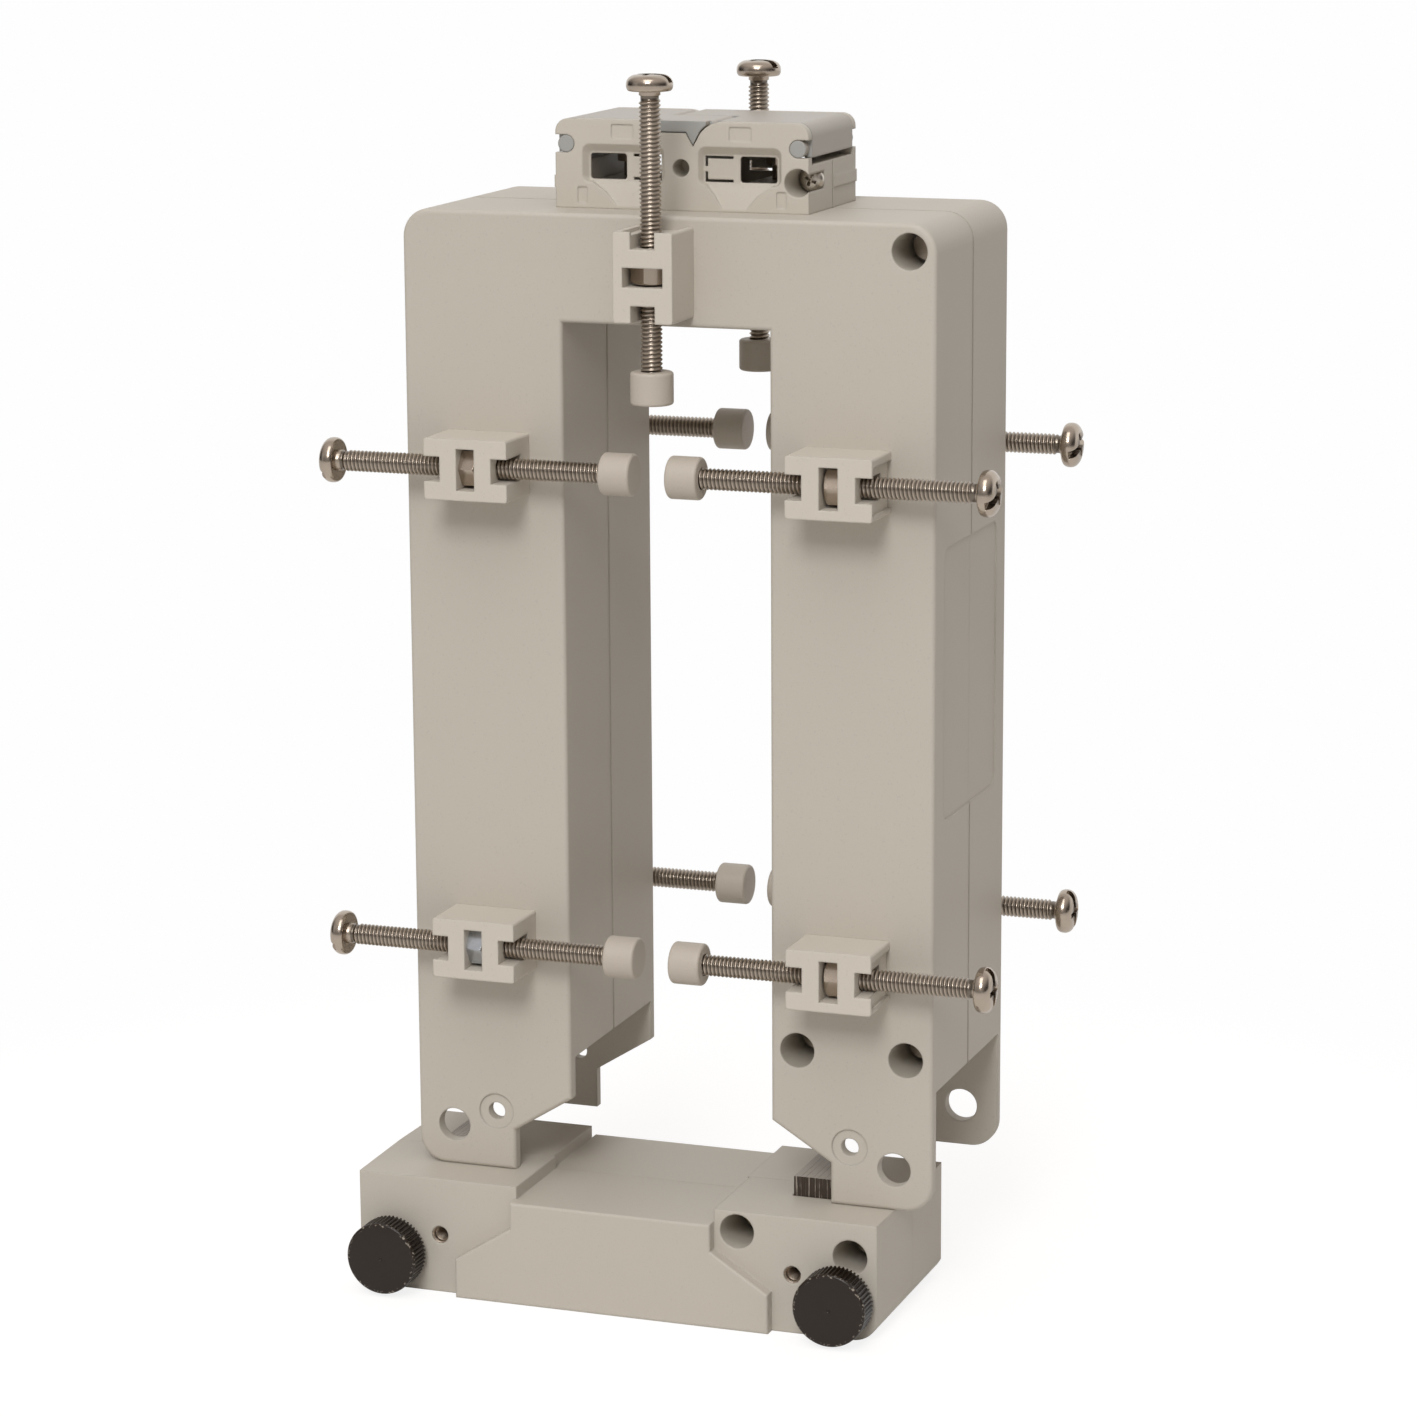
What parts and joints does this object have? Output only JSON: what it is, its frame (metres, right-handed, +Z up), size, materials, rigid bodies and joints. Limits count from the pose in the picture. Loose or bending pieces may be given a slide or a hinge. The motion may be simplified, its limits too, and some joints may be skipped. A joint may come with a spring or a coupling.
{
  "type": "split-core current transformer",
  "caption": "Split-core current transformer, opened: tall inverted-U frame with clamp screws and a lidded terminal block, standing on its detached yoke block with thumb knobs.",
  "frame": {"origin": "centre of the underside of the detached yoke block", "axes": "+Z up along the frame's legs, +X along the block's length to the right, -Y towards the side with the thumb knobs"},
  "size_m": [0.1622, 0.092, 0.2883],
  "materials": {
    "housing_plastic": "fine-grained moulded, warm grey",
    "clip_plastic": "fine-grained moulded, warm grey",
    "cap_plastic": "smooth moulded, light warm grey",
    "lid_plastic": "smooth moulded, cool grey",
    "terminal_plastic": "fine-grained moulded, warm grey",
    "knob_plastic": "black, knurled edge",
    "nickel_steel": "nickel plated, bright",
    "zinc_steel": "zinc plated",
    "core_steel": "cut stack of thin electrical steel strip",
    "copper_winding": "enamelled copper wire, many turns",
    "insert_brass": "turned",
    "bobbin_plastic": "moulded, dark"
  },
  "bodies": {
    "transformer": {"frame_front_shell": "housing_plastic", "frame_rear_shell": "housing_plastic", "yoke_front_shell": "housing_plastic", "yoke_rear_shell": "housing_plastic", "frame_shell_screws": "nickel_steel", "yoke_shell_screws": "nickel_steel", "yoke_inserts": "insert_brass", "main_core": "core_steel", "yoke_core": "core_steel", "bobbin_left": "bobbin_plastic", "bobbin_right": "bobbin_plastic", "secondary_winding_left": "copper_winding", "secondary_winding_right": "copper_winding", "terminal_block": "terminal_plastic", "terminal_contact_left": "insert_brass", "terminal_contact_right": "insert_brass", "terminal_screw_left": "nickel_steel", "terminal_screw_right": "nickel_steel", "terminal_side_screws": "nickel_steel", "clamp_nuts": "nickel_steel", "clamp_clip_front_left_upper": "clip_plastic", "clamp_clip_front_left_lower": "clip_plastic", "clamp_clip_front_right_upper": "clip_plastic", "clamp_clip_front_right_lower": "clip_plastic", "clamp_clip_front_top": "clip_plastic", "clamp_clip_rear_left_upper": "clip_plastic", "clamp_clip_rear_left_lower": "clip_plastic", "clamp_clip_rear_right_upper": "clip_plastic", "clamp_clip_rear_right_lower": "clip_plastic", "clamp_clip_rear_top": "clip_plastic"},
    "clamp_front_left_upper": {"clamp_screw_front_left_upper": "nickel_steel", "tip_cap_front_left_upper": "cap_plastic"},
    "clamp_front_left_lower": {"clamp_screw_front_left_lower": "nickel_steel", "tip_cap_front_left_lower": "cap_plastic"},
    "clamp_front_right_upper": {"clamp_screw_front_right_upper": "nickel_steel", "tip_cap_front_right_upper": "cap_plastic"},
    "clamp_front_right_lower": {"clamp_screw_front_right_lower": "nickel_steel", "tip_cap_front_right_lower": "cap_plastic"},
    "clamp_front_top": {"clamp_screw_front_top": "nickel_steel", "tip_cap_front_top": "cap_plastic"},
    "clamp_rear_left_upper": {"clamp_screw_rear_left_upper": "nickel_steel", "tip_cap_rear_left_upper": "cap_plastic"},
    "clamp_rear_left_lower": {"clamp_screw_rear_left_lower": "nickel_steel", "tip_cap_rear_left_lower": "cap_plastic"},
    "clamp_rear_right_upper": {"clamp_screw_rear_right_upper": "nickel_steel", "tip_cap_rear_right_upper": "cap_plastic"},
    "clamp_rear_right_lower": {"clamp_screw_rear_right_lower": "nickel_steel", "tip_cap_rear_right_lower": "cap_plastic"},
    "clamp_rear_top": {"clamp_screw_rear_top": "nickel_steel", "tip_cap_rear_top": "cap_plastic"},
    "lid_left": {"terminal_lid_left": "lid_plastic"},
    "lid_right": {"terminal_lid_right": "lid_plastic"},
    "knob_left": {"thumb_knob_left": "knob_plastic", "thumb_stud_left": "zinc_steel"},
    "knob_right": {"thumb_knob_right": "knob_plastic", "thumb_stud_right": "zinc_steel"}
  },
  "joints": [
    {"name": "clamp_front_left_upper_travel", "type": "slide", "parent": "transformer", "child": "clamp_front_left_upper", "axis": [1, 0, 0], "range_m": [-0.02, 0.004]},
    {"name": "clamp_front_left_lower_travel", "type": "slide", "parent": "transformer", "child": "clamp_front_left_lower", "axis": [1, 0, 0], "range_m": [-0.02, 0.004]},
    {"name": "clamp_front_right_upper_travel", "type": "slide", "parent": "transformer", "child": "clamp_front_right_upper", "axis": [-1, 0, 0], "range_m": [-0.02, 0.004]},
    {"name": "clamp_front_right_lower_travel", "type": "slide", "parent": "transformer", "child": "clamp_front_right_lower", "axis": [-1, 0, 0], "range_m": [-0.02, 0.004]},
    {"name": "clamp_front_top_travel", "type": "slide", "parent": "transformer", "child": "clamp_front_top", "axis": [0, 0, -1], "range_m": [-0.0105, 0.0105]},
    {"name": "clamp_rear_left_upper_travel", "type": "slide", "parent": "transformer", "child": "clamp_rear_left_upper", "axis": [1, 0, 0], "range_m": [-0.02, 0.0027]},
    {"name": "clamp_rear_left_lower_travel", "type": "slide", "parent": "transformer", "child": "clamp_rear_left_lower", "axis": [1, 0, 0], "range_m": [-0.02, 0.0027]},
    {"name": "clamp_rear_right_upper_travel", "type": "slide", "parent": "transformer", "child": "clamp_rear_right_upper", "axis": [-1, 0, 0], "range_m": [-0.02, 0.0027]},
    {"name": "clamp_rear_right_lower_travel", "type": "slide", "parent": "transformer", "child": "clamp_rear_right_lower", "axis": [-1, 0, 0], "range_m": [-0.02, 0.0027]},
    {"name": "clamp_rear_top_travel", "type": "slide", "parent": "transformer", "child": "clamp_rear_top", "axis": [0, 0, -1], "range_m": [-0.0122, 0.0088]},
    {"name": "lid_left_hinge", "type": "hinge", "parent": "transformer", "child": "lid_left", "pos_m": [-0.018, 0.0153, 0.2706], "axis": [0, -1, 0], "range_deg": [0, 100]},
    {"name": "lid_right_hinge", "type": "hinge", "parent": "transformer", "child": "lid_right", "pos_m": [0.0378, 0.0153, 0.2706], "axis": [0, 1, 0], "range_deg": [0, 100]},
    {"name": "knob_left_turn", "type": "hinge", "parent": "transformer", "child": "knob_left", "pos_m": [-0.0557, -0.0255, 0.0096], "axis": [0, -1, 0], "continuous": true},
    {"name": "knob_right_turn", "type": "hinge", "parent": "transformer", "child": "knob_right", "pos_m": [0.0557, -0.0255, 0.0096], "axis": [0, -1, 0], "continuous": true}
  ]
}
